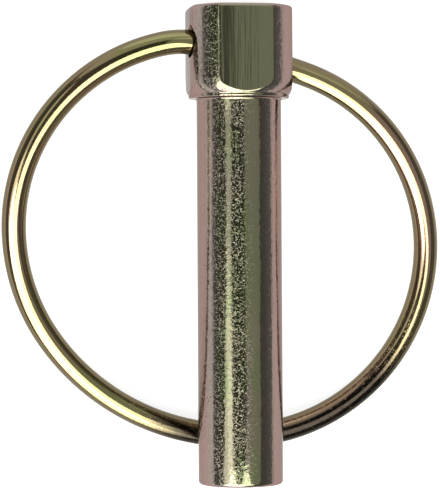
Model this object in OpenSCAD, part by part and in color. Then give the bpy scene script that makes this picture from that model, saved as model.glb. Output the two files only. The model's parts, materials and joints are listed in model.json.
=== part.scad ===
// Lynch pin: a forged pin whose round head has four flats, and a spring-wire
// ring that swings in a slanted hole through the head. The pin drops through
// a cross hole in a shaft, and the ring snaps round the shaft to hold it in.
// The part lies on its back as it would on a bench: shank along Y with the
// head at +Y, front of the head up, resting on the far side of the ring and
// on the back top edge of the head.

/* [Shank] */
// Diameter of the shank
shank_d = 10; // [8:0.5:16]
// Length of the shank below the head
shank_len = 45.4; // [43:0.1:70]
// Radius of the rounded edge at the tip
tip_edge = 0.45; // [0.2:0.05:1]
// Radius of the fillet between shank and head
root_fillet = 0.3; // [0.1:0.05:0.4]

/* [Head] */
// Height of the head above its seat
head_h = 10.8; // [10.5:0.1:16]
// How far the collar that seats on the shaft stands out round the shank
collar_step = 0.95; // [0.7:0.05:1.5]
// Height of the collar below the flats
collar_h = 0.45; // [0.4:0.05:1]
// Radius of the collar's lower edge
collar_edge = 0.2; // [0.1:0.05:0.3]
// How far each flat of the head stands out past the collar
flat_step = 0.05; // [0:0.05:0.5]
// How far the head's round corners stand out past its flats
corner_step = 0.7; // [0.4:0.05:1.2]
// Radius that draws the round corners in toward the collar
corner_round = 2.8; // [2:0.1:3.5]
// Radius of the head's top edge
head_edge = 0.45; // [0.2:0.05:0.8]

/* [Ring hole] */
// Diameter of the slanted hole through the head
hole_d = 3.75; // [3.6:0.05:4.2]
// Height above the seat at which the hole meets the left flat
hole_left_h = 6.6; // [5:0.1:7.5]
// Height above the seat at which the hole meets the right flat
hole_right_h = 3.9; // [3:0.1:5]
// How far in front of the pin's axis the hole meets the left flat
hole_lead = 1.8; // [0:0.1:2]

/* [Ring] */
// Diameter of the ring's wire
wire_d = 2.9; // [2:0.05:3]
// Distance from the pin's axis to the wire's centre at the ring's left side
ring_left = 26.45; // [22:0.05:34]
// Distance from the pin's axis to the wire's centre at the ring's right side
ring_right = 23.6; // [20:0.05:32]
// Distance from the shank's tip to the middle of the wire that crosses it
ring_tip = 5.1; // [3:0.1:9]
// Distance from the seat down to the ring's widest place on the left
ring_left_low = 14.7; // [10:0.1:20]
// Distance from the seat down to the ring's widest place on the right
ring_right_low = 18.1; // [12:0.1:22]
// How far right of the pin's axis the ring's lowest place is
ring_low_shift = 1.2; // [-4:0.1:4]
// Gap between the closed ring and the shank
ring_gap = 0.85; // [0.3:0.05:2]
// Straight length of each wire end inside the hole
wire_end = 3.2; // [1.5:0.1:3.5]
// Depth inside the hole at which the wire starts to bend away
bend_depth = 1.5; // [1:0.1:1.5]

/* [Hidden] */
$fn = 96;

// The head builds out from the shank: collar, flats, round corners.
shank_r = shank_d / 2;
collar_r = shank_r + collar_step;
half_flats = collar_r + flat_step;
head_r = half_flats + corner_step;
head_d = 2 * head_r;
head_flats = 2 * half_flats;

// Height at which the round corners start to draw in: the arc ends on the collar.
corner_mid = head_r - corner_round;
corner_h = collar_h + sqrt(pow(corner_round, 2) - pow(collar_r - corner_mid, 2));

wire_r = wire_d / 2;
ring_reach = shank_len - ring_tip;
slack = 1;                       // spare length on what only cuts
joint_proud = 0.003;             // hair by which a wire's joint balls stand proud

// Standing frame: Z along the pin with the seat at 0 and the head up, front at -Y.
left_mouth = [-half_flats, -hole_lead, hole_left_h];
right_mouth = [half_flats, hole_lead, hole_right_h];
hole_mid = (left_mouth + right_mouth) / 2;
swing_axis = unit(right_mouth - left_mouth);

// The ring's lowest place, behind the shank, and its two widest places.
// Each half lies in a plane through the lowest place and the half's own mouth.
low_y = shank_r + ring_gap + wire_r;
low = [ring_low_shift, low_y, -ring_reach];
left_up = rise(left_mouth);
right_up = rise(right_mouth);
left_wide = wide_place(-ring_left, -ring_left_low, left_up);
right_wide = wide_place(ring_right, -ring_right_low, right_up);

// How each pair of arcs shares its span: first arc's handle over the second's.
left_low_share = 2;
right_low_share = 1;
top_share = 7;

// The floor touches the wire at its lowest place and the head's back top edge.
rest_back = half_flats - head_edge;
rest_top = head_h - head_edge;
rest_span = norm([low_y - rest_back, rest_top + ring_reach]);
lie_tilt = asin((wire_r - head_edge) / rest_span)
         + atan2(low_y - rest_back, rest_top + ring_reach);
floor_drop = low_y * cos(lie_tilt) - ring_reach * sin(lie_tilt) + wire_r;

// Ends of the lying part along Y, and its middle, for the origin.
y_head = rest_back * sin(lie_tilt) + rest_top * cos(lie_tilt) + head_edge;
y_tip = -(shank_r - tip_edge) * sin(lie_tilt) - (shank_len - tip_edge) * cos(lie_tilt) - tip_edge;
y_ring = -low_y * sin(lie_tilt) - ring_reach * cos(lie_tilt) - wire_r;
mid_x = (ring_right - ring_left) / 2;
mid_y = (y_head + min(y_tip, y_ring)) / 2;

function unit(v) = v / norm(v);

// Direction in which the plane through the lowest place and a mouth rises.
function rise(mouth) = unit([0, mouth.y - low_y, mouth.z + ring_reach]);

// Point of that plane at a given x and z.
function wide_place(x, z, up) = [x, low_y + (z + ring_reach) * up.y / up.z, z];

// Two arcs that join p0, leaving along t0, to p1, arriving along t1.
// The first handle is share times the second, whose length this gives.
function handle(p0, t0, p1, t1, share) =
    let (v = p1 - p0, s = share * t0 + t1)
    let (a = s * s - pow(1 + share, 2), b = -2 * v * s, c = v * v)
    (-b - sqrt(b * b - 4 * a * c)) / (2 * a);

// Where the two arcs meet.
function meeting(p0, t0, p1, t1, share) =
    let (h = handle(p0, t0, p1, t1, share))
    (p0 + share * h * t0 + share * (p1 - h * t1)) / (1 + share);

// Direction of the curve where the two arcs meet.
function meeting_way(p0, t0, p1, t1, share) =
    let (h = handle(p0, t0, p1, t1, share))
    unit(p1 - h * t1 - (p0 + share * h * t0));

// Rectangle from -w/2 to w/2 and from 0 to h, with its top corners rounded.
module crowned(w, h, r) {
    translate([-w / 2, 0]) square([w, h - r]);
    translate([-w / 2 + r, 0]) square([w - 2 * r, h]);
    for (side = [-1, 1])
        translate([side * (w / 2 - r), h - r]) circle(r);
}

// Half profile of the round head: straight side, drawn-in corner, collar.
module head_profile() {
    translate([0, corner_h]) intersection() {
        crowned(head_d, head_h - corner_h, head_edge);
        square([head_r, head_h]);
    }
    intersection() {
        translate([corner_mid, corner_h]) circle(corner_round);
        translate([0, collar_h]) square([head_r, corner_h - collar_h]);
    }
    square([corner_mid, corner_h]);
    translate([0, collar_edge]) square([collar_r, collar_h - collar_edge]);
    square([collar_r - collar_edge, collar_h]);
    translate([collar_r - collar_edge, collar_edge]) circle(collar_edge);
}

// Half profile of the shank, hanging below the seat, with its fillet and tip.
module shank_profile() {
    translate([0, -shank_len + tip_edge]) square([shank_r, shank_len]);
    translate([0, -shank_len]) square([shank_r - tip_edge, shank_len]);
    translate([shank_r - tip_edge, -shank_len + tip_edge]) circle(tip_edge);
    difference() {
        translate([0, -root_fillet]) square([shank_r + root_fillet, 2 * root_fillet]);
        translate([shank_r + root_fillet, -root_fillet]) circle(root_fillet);
    }
}

// Round head with its four flats.
module head() {
    intersection() {
        rotate_extrude() head_profile();
        rotate([90, 0, 0])
            linear_extrude(head_d + slack, center = true)
                crowned(head_flats, head_h, head_edge);
        rotate([90, 0, 90])
            linear_extrude(head_d + slack, center = true)
                crowned(head_flats, head_h, head_edge);
    }
}

// Moves what is built round the Z axis onto the line from p along way.
module along(p, way) {
    translate(p)
        rotate([0, acos(way.z), atan2(way.y, way.x)])
            children();
}

// Ball that joins two stretches of wire. It stands proud by a hair, so that
// the surfaces cross there and the stretches become one solid.
module joint_ball(p) {
    translate(p) sphere(wire_r + joint_proud);
}

// Stretch of wire along one arc that leaves p0 along t0 and ends at p1.
module wire_arc(p0, t0, p1) {
    v = p1 - p0;
    normal = unit(cross(t0, v));
    inward = cross(normal, t0);
    bend_r = v * v / (2 * v * inward);
    turn = 2 * atan2(v * inward, v * t0);
    c = p0 + bend_r * inward;
    multmatrix([
        [-inward.x, t0.x, normal.x, c.x],
        [-inward.y, t0.y, normal.y, c.y],
        [-inward.z, t0.z, normal.z, c.z]
    ])
        rotate_extrude(angle = turn)
            translate([bend_r, 0]) circle(wire_r);
    joint_ball(p1);
}

// Stretch of wire along the two arcs that join p0 to p1.
module wire_pair(p0, t0, p1, t1, share) {
    m = meeting(p0, t0, p1, t1, share);
    wire_arc(p0, t0, m);
    wire_arc(m, meeting_way(p0, t0, p1, t1, share), p1);
}

// One half of the ring, from its lowest place up to its end in the hole.
module half_ring(start_way, wide, up, mouth, into, low_share) {
    bend = mouth + bend_depth * into;
    wire_pair(low, start_way, wide, up, low_share);
    wire_pair(wide, up, bend, into, top_share);
    along(bend, into) cylinder(h = wire_end, r = wire_r);
}

// Lays the standing part on its back, with the origin below its middle.
module lie_down() {
    translate([-mid_x, -mid_y, floor_drop])
        rotate([-90 - lie_tilt, 0, 0])
            children();
}

// The pin: head and shank forged as one piece, with the hole for the ring.
module pin() {
    color("darkkhaki") lie_down() difference() {
        union() {
            head();
            rotate_extrude() shank_profile();
        }
        along(hole_mid, swing_axis)
            cylinder(h = 2 * head_d, d = hole_d, center = true);
    }
}

// The ring: one length of spring wire, both of its ends in the head's hole.
module ring() {
    color("goldenrod") lie_down() union() {
        union() {
            half_ring([-1, 0, 0], left_wide, left_up, left_mouth, swing_axis, left_low_share);
            joint_ball(low);
        }
        half_ring([1, 0, 0], right_wide, right_up, right_mouth, -swing_axis, right_low_share);
    }
}

pin();
ring();
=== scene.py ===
import json
import math

import bmesh
import bpy
from bmesh.types import BMEdge, BMVert
from mathutils import Matrix, Vector


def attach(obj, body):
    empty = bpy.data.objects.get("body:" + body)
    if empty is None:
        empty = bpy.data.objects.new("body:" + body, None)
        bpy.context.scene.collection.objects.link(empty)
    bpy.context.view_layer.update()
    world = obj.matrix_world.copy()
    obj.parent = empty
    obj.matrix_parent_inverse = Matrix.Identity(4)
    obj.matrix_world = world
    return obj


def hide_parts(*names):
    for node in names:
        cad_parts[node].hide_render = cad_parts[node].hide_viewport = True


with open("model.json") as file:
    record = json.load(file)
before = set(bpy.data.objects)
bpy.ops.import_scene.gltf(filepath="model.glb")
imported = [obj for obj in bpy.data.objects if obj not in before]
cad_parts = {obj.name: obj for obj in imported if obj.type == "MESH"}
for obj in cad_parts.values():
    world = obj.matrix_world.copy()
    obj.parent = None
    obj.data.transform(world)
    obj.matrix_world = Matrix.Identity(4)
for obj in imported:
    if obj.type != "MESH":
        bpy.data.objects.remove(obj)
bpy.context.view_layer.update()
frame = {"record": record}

# ---------------------------------------------------------------------------
# Forged pin
# Round shank and round head in one piece of steel. Four flats are pressed
# into the head, a slanted hole is drilled through it for the ring, and the
# whole pin is zinc plated and passivated yellow.
# ---------------------------------------------------------------------------
head_h = 0.0108
collar_step = 0.00095
collar_h = 0.00045
collar_edge = 0.0002
flat_step = 0.00005
corner_step = 0.0007
corner_round = 0.0028
head_edge = 0.00045
root_fillet = 0.0003
tip_edge = 0.00045
hole_d = 0.00375
hole_lead = 0.0018
hole_left_h = 0.0066
hole_right_h = 0.0039
hole_rim = 0.00008               # edge broken round the drilled hole
rim_edge = math.radians(50)      # edges sharper than this get that rim
flat_crown = 0.00012             # how far the middle of a pressed flat bulges
flat_proud = 0.00005             # how much of that stands out past the flat's size
flat_blend = 0.0001              # how softly a flat runs into the round corners
crown_power = 4                  # the crown is level in its middle and falls off at its sides
pin_steps = 384                  # steps round the pin
drill_steps = 96
same_place = 1e-7                # points nearer than this are one

# The shank's mount gives its radius, where it is and which way it lies.
shank = next(m for m in frame["record"]["mounts"] if m["name"] == "shank")
shank_r = shank["dims"]["r_mm"] / 1000
shank_wall = shank["dims"]["length_mm"] / 1000
shank_len = root_fillet + shank_wall + tip_edge
shank_mid = Vector(shank["pos_m"])
across = Vector((1, 0, 0))
toward_head = -Vector(shank["axis"])
front = across.cross(toward_head)
seat = shank_mid + toward_head * (shank_wall / 2 + root_fillet)
lay_down = Matrix.Translation(seat) @ Matrix((across, -front, toward_head)).transposed().to_4x4()

collar_r = shank_r + collar_step
half_flats = collar_r + flat_step
head_r = half_flats + corner_step
corner_mid = head_r - corner_round
corner_drop = math.acos((collar_r - corner_mid) / corner_round)
corner_h = collar_h + corner_round * math.sin(corner_drop)


def line(start, end, steps):
    """Points from start to end, without the first."""
    return [Vector(start).lerp(Vector(end), (i + 1) / steps) for i in range(steps)]


def arc(middle, radius, start, turn, steps):
    """Points of an arc, with angles in radians, without the first."""
    points = []
    for i in range(steps):
        angle = start + turn * (i + 1) / steps
        points.append(Vector(middle) + radius * Vector((math.cos(angle), math.sin(angle))))
    return points


def soft_min(a, b, blend):
    """The lesser of two sizes, rounded over where they are nearly equal."""
    near = max(blend - abs(a - b), 0) / blend
    return min(a, b) - near * near * blend / 4


def add_object(mesh, name):
    """Turns a finished bmesh into an object of the scene."""
    data = bpy.data.meshes.new(name)
    mesh.to_mesh(data)
    mesh.free()
    piece = bpy.data.objects.new(name, data)
    bpy.context.scene.collection.objects.link(piece)
    return piece


# Half outline of the pin, as radius and height, from the top down to the tip.
# Each stretch of it ends with its number of steps.
quarter = math.pi / 2
outline = [Vector((0, head_h))]
outline += line(outline[-1], (head_r - head_edge, head_h), 8)
outline += arc((head_r - head_edge, head_h - head_edge), head_edge, quarter, -quarter, 8)
outline += line(outline[-1], (head_r, corner_h), 26)
outline += arc((corner_mid, corner_h), corner_round, 0, -corner_drop, 36)
outline += line(outline[-1], (collar_r, collar_edge), 2)
outline += arc((collar_r - collar_edge, collar_edge), collar_edge, 0, -quarter, 5)
outline += line(outline[-1], (shank_r + root_fillet, 0), 2)
outline += arc((shank_r + root_fillet, -root_fillet), root_fillet, quarter, quarter, 6)
outline += line(outline[-1], (shank_r, tip_edge - shank_len), 12)
outline += arc((shank_r - tip_edge, tip_edge - shank_len), tip_edge, 0, -quarter, 8)
outline += line(outline[-1], (0, -shank_len), 6)

mesh = bmesh.new()
points = [mesh.verts.new((p.x, 0, p.y)) for p in outline]
edges = [mesh.edges.new(pair) for pair in zip(points, points[1:])]
bmesh.ops.spin(mesh, geom=points + edges, cent=(0, 0, 0), axis=(0, 0, 1),
               angle=2 * math.pi, steps=pin_steps, use_merge=True)
bmesh.ops.remove_doubles(mesh, verts=mesh.verts, dist=same_place)

# Presses the four flats: each is a shallow crown that fades into the corners.
pressed = mesh.verts.layers.float.new("pressed")
flat_reach = math.sqrt(head_r ** 2 - half_flats ** 2)
for v in mesh.verts:
    radius = math.hypot(v.co.x, v.co.y)
    if v.co.z <= collar_h or radius < half_flats / 2:
        continue
    away = max(abs(v.co.x), abs(v.co.y)) / radius
    aside = min(abs(v.co.x), abs(v.co.y)) / away
    rise = max(v.co.z - (head_h - head_edge), 0)
    edge_loss = head_edge - math.sqrt(max(head_edge ** 2 - rise ** 2, 0))
    crown = flat_proud - flat_crown * min(aside / flat_reach, 1) ** crown_power
    flat = (half_flats - edge_loss + crown) / away
    v[pressed] = min(max((radius - flat) / flat_blend + 0.5, 0), 1)
    v.co.xy *= soft_min(radius, flat, flat_blend) / radius
bmesh.ops.recalc_face_normals(mesh, faces=mesh.faces)
bmesh.ops.transform(mesh, matrix=lay_down, verts=mesh.verts)
for face in mesh.faces:
    face.smooth = True
pin = add_object(mesh, "forged_pin")

# Drills the slanted hole through the head, and breaks its edges.
left_mouth = lay_down @ Vector((-half_flats, -hole_lead, hole_left_h))
right_mouth = lay_down @ Vector((half_flats, hole_lead, hole_right_h))
swing_axis = (right_mouth - left_mouth).normalized()
aim_drill = (Matrix.Translation((left_mouth + right_mouth) / 2)
             @ swing_axis.to_track_quat("Z", "Y").to_matrix().to_4x4())
mesh = bmesh.new()
bmesh.ops.create_cone(mesh, cap_ends=True, segments=drill_steps, radius1=hole_d / 2,
                      radius2=hole_d / 2, depth=4 * head_r, matrix=aim_drill)
for face in mesh.faces:
    face.smooth = True
drill = add_object(mesh, "drill")
cut = pin.modifiers.new("drilled", "BOOLEAN")
cut.object = drill
cut.solver = "EXACT"
rim = pin.modifiers.new("rim", "BEVEL")
rim.width = hole_rim
rim.segments = 2
rim.limit_method = "ANGLE"
rim.angle_limit = rim_edge
drilled = bpy.data.meshes.new_from_object(pin.evaluated_get(bpy.context.evaluated_depsgraph_get()))
pin.modifiers.clear()
pin.data = drilled
bpy.data.objects.remove(drill)
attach(pin, "pin_body")
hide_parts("pin")


def shade(tree, kind, sockets=None, **settings):
    """Adds a shader node, and sets or links its inputs by name or number."""
    node = tree.nodes.new(kind)
    for name, value in settings.items():
        setattr(node, name, value)
    for name, value in (sockets or {}).items():
        if isinstance(value, bpy.types.NodeSocket):
            tree.links.new(value, node.inputs[name])
        else:
            node.inputs[name].default_value = value
    return node


def mix(tree, factor, first, second):
    """Mixes two colours, each a socket or a plain colour."""
    first, second = (c if isinstance(c, bpy.types.NodeSocket) else (*c, 1) for c in (first, second))
    return shade(tree, "ShaderNodeMix", {0: factor, 6: first, 7: second}, data_type="RGBA").outputs[2]


def ramp(tree, value, low, high, start=0.0, end=1.0):
    """Maps low..high smoothly onto start..end."""
    return shade(tree, "ShaderNodeMapRange", {"Value": value, 1: low, 2: high, 3: start, 4: end},
                 interpolation_type="SMOOTHSTEP").outputs[0]


def product(tree, first, second):
    """Multiplies two values, each a socket or a number."""
    return shade(tree, "ShaderNodeMath", {0: first, 1: second}, operation="MULTIPLY").outputs[0]


def tint(tree, colour, layers):
    """Lays colours over a first one, each where its mask rises from low to high."""
    for mask, low, high, layer in layers:
        colour = mix(tree, ramp(tree, mask, low, high), colour, layer)
    return colour


def bump(tree, height, depth, strength=1.0, under=None):
    """Raises the surface by a pattern, over another bump where one is given."""
    sockets = {"Height": height, "Distance": depth, "Strength": strength}
    if under is not None:
        sockets["Normal"] = under
    return shade(tree, "ShaderNodeBump", sockets).outputs[0]


def plated_metal(tree, colour, roughness, normal, grazing):
    """Sets a material's shader to plated metal, with its own gloss at a grazing view."""
    shader = tree.nodes["Principled BSDF"].inputs
    shader["Metallic"].default_value = 1.0
    shader["Specular Tint"].default_value = (*grazing, 1)
    tree.links.new(colour, shader["Base Color"])
    tree.links.new(roughness, shader["Roughness"])
    tree.links.new(normal, shader["Normal"])


cloud_shape = (1, 0.35, 1)       # the film's clouds are drawn out along the pin
streak_shape = (1, 0.06, 1)      # and its streaks much more
grain_warp = 0.0004              # how crooked the grains' borders are


def passivated_plate():
    """Group for yellow passivated zinc: cloudy film, drawn streaks and scattered grains."""
    tree = bpy.data.node_groups.new("passivated_plate", "ShaderNodeTree")
    face = tree.interface
    for name, kind in (("Coordinate", "NodeSocketVector"), ("Cloud Scale", "NodeSocketFloat"),
                       ("Streak Scale", "NodeSocketFloat"), ("Grain Scale", "NodeSocketFloat"),
                       ("Grain Share", "NodeSocketFloat")):
        face.new_socket(name, in_out="INPUT", socket_type=kind)
    for name in ("Cloud", "Streak", "Grain"):
        face.new_socket(name, in_out="OUTPUT", socket_type="NodeSocketFloat")
    source = tree.nodes.new("NodeGroupInput").outputs
    result = tree.nodes.new("NodeGroupOutput").inputs
    place = source["Coordinate"]
    drifted = shade(tree, "ShaderNodeMapping", {"Vector": place, "Scale": cloud_shape})
    cloud = shade(tree, "ShaderNodeTexNoise", {"Vector": drifted.outputs[0], "Detail": 3.0,
                                               "Scale": source["Cloud Scale"]})
    drawn = shade(tree, "ShaderNodeMapping", {"Vector": place, "Scale": streak_shape})
    streak = shade(tree, "ShaderNodeTexNoise", {"Vector": drawn.outputs[0], "Detail": 2.0,
                                                "Scale": source["Streak Scale"]})
    # A grain is a small cone in its own cell, and its height is left to chance.
    warp = shade(tree, "ShaderNodeTexNoise", {"Vector": place, "Detail": 0.0,
                                              "Scale": source["Grain Scale"]})
    warped = shade(tree, "ShaderNodeVectorMath", {0: warp.outputs["Color"], 1: 3 * (grain_warp,),
                                                  2: place}, operation="MULTIPLY_ADD")
    cell = shade(tree, "ShaderNodeTexVoronoi", {"Vector": warped.outputs[0],
                                                "Scale": source["Grain Scale"]})
    chance = shade(tree, "ShaderNodeSeparateColor", {0: cell.outputs["Color"]}).outputs[0]
    tall = shade(tree, "ShaderNodeMapRange", {"Value": chance, 1: source["Grain Share"], 2: 0.0})
    cone = shade(tree, "ShaderNodeMapRange", {"Value": cell.outputs["Distance"],
                                              1: 0.0, 2: 0.5, 3: 1.0, 4: 0.0})
    grain = product(tree, cone.outputs[0], tall.outputs[0])
    tree.links.new(cloud.outputs["Fac"], result["Cloud"])
    tree.links.new(streak.outputs["Fac"], result["Streak"])
    tree.links.new(grain, result["Grain"])
    return tree


plate_group = passivated_plate()

olive = (0.23, 0.25, 0.13)       # the film's tints where it is seen square on
straw = (0.265, 0.245, 0.16)
rosy_streak = (0.27, 0.235, 0.19)
pale_grain = (0.255, 0.23, 0.185)
flat_olive = (0.25, 0.248, 0.15)
side_brown = (0.25, 0.21, 0.18)  # and as it is seen more and more from the side
side_pink = (0.275, 0.19, 0.17)
side_grey = (0.225, 0.195, 0.18)
pin_grazing = (0.6, 0.56, 0.54)
streak_depth = 0.00002
grain_depth = 0.000036
ripple_depth = 0.000015
brush_depth = 0.00003
brush_shape = (1, 0.04, 1)       # the strokes on the flats run along the pin
skin_roughness = 0.09
flat_roughness = 0.2
rub_start = shank_mid.x - 0.0011  # from here to the right the shank is rubbed smoother
rub_end = shank_mid.x + 0.0003   # and from here on fully so
rubbed_grain = 0.3               # share of the grain's depth that is left there
head_fade = 0.02                 # length of shank over which the grain deepens to the head
head_grain = 1.15                # share of its depth on the head
flat_grain = 0.1                 # share of its depth on the pressed flats
lie_tilt = math.atan2(-toward_head.z, toward_head.y)

material = bpy.data.materials.new("forged_plate")
material.use_nodes = True
tree = material.node_tree
place = shade(tree, "ShaderNodeTexCoord").outputs["Object"]
upright = shade(tree, "ShaderNodeMapping", {"Vector": place, "Rotation": (lie_tilt, 0, 0)}).outputs[0]
plate = shade(tree, "ShaderNodeGroup", {"Coordinate": upright, "Cloud Scale": 330.0,
                                        "Streak Scale": 900.0, "Grain Scale": 6500.0,
                                        "Grain Share": 0.55}, node_tree=plate_group).outputs
flats = shade(tree, "ShaderNodeAttribute", attribute_name="pressed").outputs["Fac"]
turned = shade(tree, "ShaderNodeLayerWeight", {"Blend": 0.5}).outputs["Facing"]
film = tint(tree, olive, ((plate["Cloud"], 0.42, 0.62, straw),
                          (plate["Streak"], 0.5, 0.8, rosy_streak),
                          (plate["Grain"], 0.0, 0.3, pale_grain),
                          (flats, 0.5, 1.0, flat_olive),
                          (turned, 0.12, 0.2, side_brown),
                          (turned, 0.3, 0.42, side_pink),
                          (turned, 0.6, 0.9, side_grey)))
spot = shade(tree, "ShaderNodeSeparateXYZ", {0: place}).outputs
rough = product(tree, ramp(tree, spot["X"], rub_start, rub_end, 1.0, rubbed_grain),
                ramp(tree, spot["Y"], seat.y - head_fade, seat.y, 1.0, head_grain))
rough = product(tree, rough, ramp(tree, flats, 0.0, 1.0, 1.0, flat_grain))
ripple = shade(tree, "ShaderNodeTexNoise", {"Vector": upright, "Scale": 2200.0, "Detail": 1.0})
stroke = shade(tree, "ShaderNodeMapping", {"Vector": upright, "Scale": brush_shape}).outputs[0]
brush = shade(tree, "ShaderNodeTexNoise", {"Vector": stroke, "Scale": 3500.0, "Detail": 2.0})
off_flats = ramp(tree, flats, 0.4, 1.0, 1.0, 0.0)
normal = bump(tree, plate["Streak"], streak_depth)
normal = bump(tree, plate["Grain"], grain_depth, rough, normal)
normal = bump(tree, ripple.outputs["Fac"], ripple_depth, off_flats, normal)
normal = bump(tree, brush.outputs["Fac"], brush_depth, ramp(tree, flats, 0.5, 1.0), normal)
plated_metal(tree, film, ramp(tree, flats, 0.4, 1.0, skin_roughness, flat_roughness), normal,
             pin_grazing)
pin.data.materials.clear()
pin.data.materials.append(material)

# ---------------------------------------------------------------------------
# Ring
# One length of round spring wire, bent to an oval. Its ends turn into the
# slanted hole in the head, where they swing. It is plated like the pin, but
# drawn wire is smoother than a forging, so it mirrors more.
# ---------------------------------------------------------------------------
wire_r = 0.00145
wire_sides = 48
wire_step = 0.0005               # length of wire between two rings of faces
wire_end = 0.0032
bend_depth = 0.0015
ring_left = 0.02645
ring_right = 0.0236
ring_left_low = 0.0147
ring_right_low = 0.0181
ring_low_shift = 0.0012
ring_tip = 0.0051
ring_gap = 0.00085
ring_reach = shank_len - ring_tip
left_low_share = 2               # how the two arcs of each bend share its length
right_low_share = 1
top_share = 7
green_gold = (0.27, 0.26, 0.115)  # the film's tints on the wire, cloud by cloud
warm_gold = (0.33, 0.265, 0.14)
pink_gold = (0.36, 0.25, 0.165)
side_umber = (0.15, 0.12, 0.07)  # and as it is seen from the side
# Painted shade: a near-black tint on the outer side of the ring's lower right stands in for a dark
# reflection there.
painted_dark_reflection = (0.022, 0.019, 0.015)
dark_reflection_share = 0.97                # how far it hides the tints under it
ring_grazing = (0.8, 0.78, 0.74)
wire_roughness = 0.07            # between the wire's drawn streaks
streak_roughness = 0.13          # and on them
dark_reflection_shift = 0.0055             # the painted dark reflection's middle, right of the ring's lowest place
dark_reflection_full = 0.0123              # from that middle it is full this far
dark_reflection_reach = 0.0205             # and fades out by here
dark_reflection_bend = 0.0224              # the ring's bend there: the painted dark reflection keeps to its outer side
dark_reflection_start = dark_reflection_bend - 0.0009
dark_reflection_end = dark_reflection_bend - 0.0003
pit_depth = 0.00003
pit_full = 0.016                 # the wire is fully pitted this far from that middle
pit_reach = 0.024                # and hardly from here on
pit_left = 0.1                   # share of the pits' depth that is left there


def arc_pair(start, start_way, end, end_way, share):
    """Two arcs that join start to end, each as its start, way and end."""
    span = end - start
    ways = share * start_way + end_way
    a = ways.dot(ways) - (1 + share) ** 2
    b = -2 * span.dot(ways)
    handle = (-b - math.sqrt(b * b - 4 * a * span.dot(span))) / (2 * a)
    first = start + share * handle * start_way
    second = end - handle * end_way
    meeting = (first + share * second) / (1 + share)
    return [(start, start_way, meeting), (meeting, (second - first).normalized(), end)]


def only(geometry, *kinds):
    """Those parts of what spin or extrude gives that are of the named kinds."""
    return [part for part in geometry if isinstance(part, kinds)]


def bend_wire(mesh, loop, start, way, end):
    """Spins the wire's outline along one arc and returns its last outline."""
    chord = end - start
    normal = way.cross(chord).normalized()
    inward = normal.cross(way)
    bend_r = chord.dot(chord) / (2 * chord.dot(inward))
    turn = 2 * math.atan2(chord.dot(inward), chord.dot(way))
    swept = bmesh.ops.spin(mesh, geom=loop, cent=start + inward * bend_r, axis=normal,
                           angle=turn, steps=math.ceil(turn * bend_r / wire_step))
    return only(swept["geom_last"], BMVert, BMEdge)


# Each half lies in a plane through the ring's lowest place and its own mouth.
low_back = shank_r + ring_gap + wire_r
low = lay_down @ Vector((ring_low_shift, low_back, -ring_reach))
mesh = bmesh.new()
facing = across.to_track_quat("Z", "Y").to_matrix().to_4x4()
circle = bmesh.ops.create_circle(mesh, segments=wire_sides, radius=wire_r,
                                 matrix=Matrix.Translation(low) @ facing)
middle = circle["verts"] + list(mesh.edges)
for side, reach, drop, share, mouth in (
        (-1, ring_left, ring_left_low, left_low_share, left_mouth),
        (1, ring_right, ring_right_low, right_low_share, right_mouth)):
    into = -side * swing_axis
    up = mouth - low
    up = (up - across * up.dot(across)).normalized()
    climb = (ring_reach - drop) / up.dot(toward_head)
    wide = low + across * (side * reach - ring_low_shift) + up * climb
    bend = mouth + into * bend_depth
    loop = middle
    for step in (arc_pair(low, side * across, wide, up, share)
                 + arc_pair(wide, up, bend, into, top_share)):
        loop = bend_wire(mesh, loop, *step)
    end = bmesh.ops.extrude_edge_only(mesh, edges=only(loop, BMEdge))["geom"]
    bmesh.ops.translate(mesh, verts=only(end, BMVert), vec=into * wire_end)
    bmesh.ops.edgeloop_fill(mesh, edges=only(end, BMEdge))
bmesh.ops.recalc_face_normals(mesh, faces=mesh.faces)
for face in mesh.faces:
    face.smooth = len(face.verts) == 4   # all but the wire's two cut ends
ring = add_object(mesh, "wire_ring")
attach(ring, "ring_body")
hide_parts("ring")

material = bpy.data.materials.new("drawn_plate")
material.use_nodes = True
tree = material.node_tree
place = shade(tree, "ShaderNodeTexCoord").outputs["Object"]
plate = shade(tree, "ShaderNodeGroup", {"Coordinate": place, "Cloud Scale": 90.0,
                                        "Streak Scale": 700.0, "Grain Scale": 6500.0,
                                        "Grain Share": 0.3}, node_tree=plate_group).outputs
turned = shade(tree, "ShaderNodeLayerWeight", {"Blend": 0.5}).outputs["Facing"]
film = tint(tree, green_gold, ((plate["Cloud"], 0.4, 0.52, warm_gold),
                               (plate["Cloud"], 0.49, 0.62, pink_gold),
                               (turned, 0.12, 0.4, side_umber)))
# The painted dark reflection, a near-black tint, lies on the outer side of the ring's right half, so
# up is that half's.
from_dark_reflection, from_bend = (
    shade(tree, "ShaderNodeVectorMath", {0: place, 1: tuple(point)},
          operation="DISTANCE").outputs["Value"]
    for point in (low + across * dark_reflection_shift, low + up * dark_reflection_bend))
dark_reflection_mask = product(tree, ramp(tree, from_dark_reflection, dark_reflection_full, dark_reflection_reach, dark_reflection_share, 0.0),
                ramp(tree, from_bend, dark_reflection_start, dark_reflection_end))
pits = bump(tree, plate["Grain"], pit_depth,
            ramp(tree, from_dark_reflection, pit_full, pit_reach, 1.0, pit_left))
plated_metal(tree, mix(tree, dark_reflection_mask, film, painted_dark_reflection),
             ramp(tree, plate["Streak"], 0.3, 0.7, wire_roughness, streak_roughness),
             pits, ring_grazing)
ring.data.materials.append(material)

# ---------------------------------------------------------------------------
# Studio
# Pale paper on a table with a low pale wall round it, seven soft lamps, and
# the camera above the part, square to the shank and a little to its left.
# ---------------------------------------------------------------------------
floor_reach = 1.3
wall_h = 0.08
paper_steps = 96                 # sides of the round floor and of the wall
paper_white = (0.3, 0.3, 0.3, 1)
paper_glow = 0.85

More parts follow.
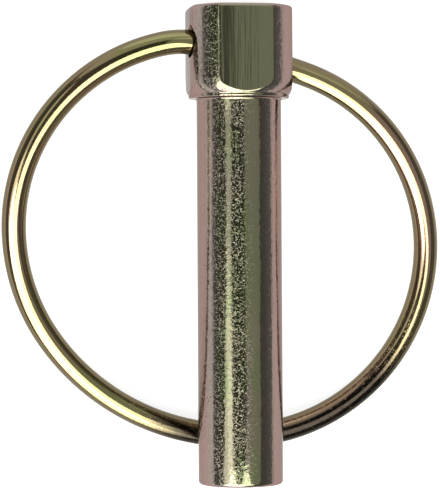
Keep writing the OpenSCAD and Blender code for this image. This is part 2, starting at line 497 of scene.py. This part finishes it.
material = bpy.data.materials.new("paper")
material.use_nodes = True
tree = material.node_tree
tree.nodes.clear()
path = shade(tree, "ShaderNodeLightPath")
seen = path.outputs["Is Camera Ray"]
for ray in ("Is Glossy Ray", "Is Transmission Ray"):
    seen = shade(tree, "ShaderNodeMath", {0: seen, 1: path.outputs[ray]},
                 operation="MAXIMUM").outputs[0]
glow = shade(tree, "ShaderNodeEmission", {"Strength": product(tree, seen, paper_glow)})
paper = shade(tree, "ShaderNodeBsdfDiffuse", {"Color": paper_white})
both = shade(tree, "ShaderNodeAddShader", {0: paper.outputs[0], 1: glow.outputs[0]})
shade(tree, "ShaderNodeOutputMaterial", {"Surface": both.outputs[0]})

for name in ("floor", "wall"):
    mesh = bmesh.new()
    if name == "floor":
        bmesh.ops.create_circle(mesh, cap_ends=True, segments=paper_steps, radius=floor_reach)
    else:
        bmesh.ops.create_cone(mesh, cap_ends=False, segments=paper_steps, radius1=floor_reach,
                              radius2=floor_reach, depth=wall_h,
                              matrix=Matrix.Translation((0, 0, wall_h / 2)))
    piece = add_object(mesh, name)
    piece.data.materials.append(material)

camera_turn = math.radians(8.6)
camera_roll = math.radians(0.33)
camera_far = 0.27
camera_lens = 168.4              # both in mm, as a camera's maker gives them
camera_frame = 36
aim_up = 0.005475                # how far above the shank's middle the camera aims
aim_left = 0.002308              # and how far left of its axis
toward_camera = front * math.cos(camera_turn) - across * math.sin(camera_turn)
view_right = across * math.cos(camera_turn) + front * math.sin(camera_turn)
aim = shank_mid + toward_head * aim_up - view_right * aim_left
data = bpy.data.cameras.new("camera")
data.sensor_fit = "VERTICAL"
data.sensor_height = camera_frame
data.lens = camera_lens
camera = bpy.data.objects.new("camera", data)
square_on = Matrix((view_right, toward_head, toward_camera)).transposed().to_4x4()
camera.matrix_world = (Matrix.Translation(aim + toward_camera * camera_far) @ square_on
                       @ Matrix.Rotation(-camera_roll, 4, "Z"))
bpy.context.scene.collection.objects.link(camera)
bpy.context.scene.camera = camera

lamp_far = 0.6


def soft_lamp(name, right, up, wide, tall, radiance):
    """Oval lamp: its angles right of and above the camera, and how wide and tall, in degrees."""
    right, up = math.radians(right), math.radians(up)
    way = (view_right * math.sin(right) * math.cos(up) + toward_head * math.sin(up)
           + toward_camera * math.cos(right) * math.cos(up))
    data = bpy.data.lights.new(name, "AREA")
    data.shape = "ELLIPSE"
    data.size = 2 * lamp_far * math.tan(math.radians(wide / 2))
    data.size_y = 2 * lamp_far * math.tan(math.radians(tall / 2))
    data.energy = radiance * math.pi * (math.pi / 4) * data.size * data.size_y
    side = toward_head.cross(way).normalized()
    top = way.cross(side)
    lamp = bpy.data.objects.new(name, data)
    lamp.matrix_world = (Matrix.Translation(aim + way * lamp_far)
                         @ Matrix((side, top, way)).transposed().to_4x4())
    lamp.visible_camera = False
    bpy.context.scene.collection.objects.link(lamp)


soft_lamp("key_lamp", -23, -45, 50, 66, 6)
soft_lamp("ring_lamp", 15, -34, 42, 46, 4.5)
soft_lamp("strip_lamp", -32, -16, 30, 30, 1.8)
soft_lamp("side_lamp", -29, 5, 15, 40, 0.95)
soft_lamp("fill_lamp", 35, 4, 43, 60, 0.41)
soft_lamp("head_lamp", 20, 60, 90, 76, 0.6)
soft_lamp("top_lamp", 18, 74, 50, 50, 0.6)

room_side = 0.28                 # how bright the room is level with the floor
room_top = 0.1                   # and behind the camera

world = bpy.data.worlds.new("studio")
world.use_nodes = True
tree = world.node_tree
way = shade(tree, "ShaderNodeTexCoord").outputs["Generated"]
overhead = shade(tree, "ShaderNodeVectorMath", {0: way, 1: toward_camera},
                 operation="DOT_PRODUCT").outputs["Value"]
room = tree.nodes["Background"].inputs
room["Color"].default_value = (1, 1, 1, 1)
tree.links.new(ramp(tree, overhead, 0.0, 0.7, room_side, room_top), room["Strength"])
bpy.context.scene.world = world
bpy.context.scene.view_settings.view_transform = "Standard"
